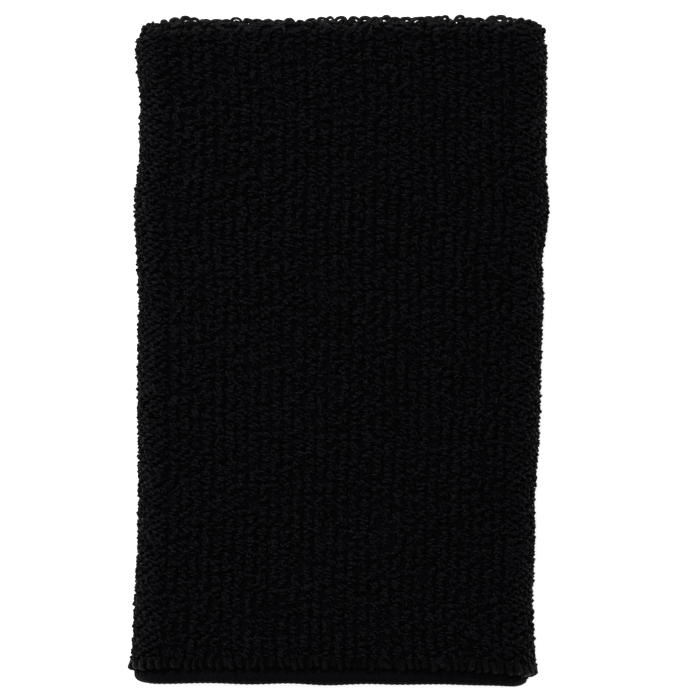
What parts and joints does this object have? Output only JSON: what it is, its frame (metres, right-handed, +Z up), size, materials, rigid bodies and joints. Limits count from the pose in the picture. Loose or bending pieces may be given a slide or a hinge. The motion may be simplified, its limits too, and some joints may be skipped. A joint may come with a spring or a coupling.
{
  "type": "sweat wristband",
  "caption": "Long terry sweat wristband lying flat: a knitted tube turned in on itself, with a turned edge at one end and an overlocked seam with a plain-knit welt at the other.",
  "frame": {"origin": "under the middle of the band, on the surface that it lies on", "axes": "+Y along the tube towards the turned edge, +X across the flat band, +Z up, away from the surface that it lies on"},
  "size_m": [0.079, 0.127, 0.0178],
  "materials": {
    "terry_pile": "looped cotton terry, matt black",
    "ground_knit": "close plain knit, matt black",
    "welt_knit": "smooth ribbed plain knit, black with a slight sheen",
    "seam_thread": "textured overlock thread, black",
    "elastic_yarn": "rubber thread in a black wound cover"
  },
  "bodies": {
    "root": {"outer_pile": "terry_pile", "outer_ground": "ground_knit", "inner_ground": "ground_knit", "inner_pile": "terry_pile", "outer_elastic": "elastic_yarn", "inner_elastic": "elastic_yarn", "turned_edge_pile": "terry_pile", "turned_edge_ground": "ground_knit", "seam_outer_looper": "seam_thread", "seam_needle_thread": "seam_thread", "seam_inner_looper": "seam_thread", "hem_welt": "welt_knit", "welt_elastic": "elastic_yarn"}
  },
  "joints": []
}
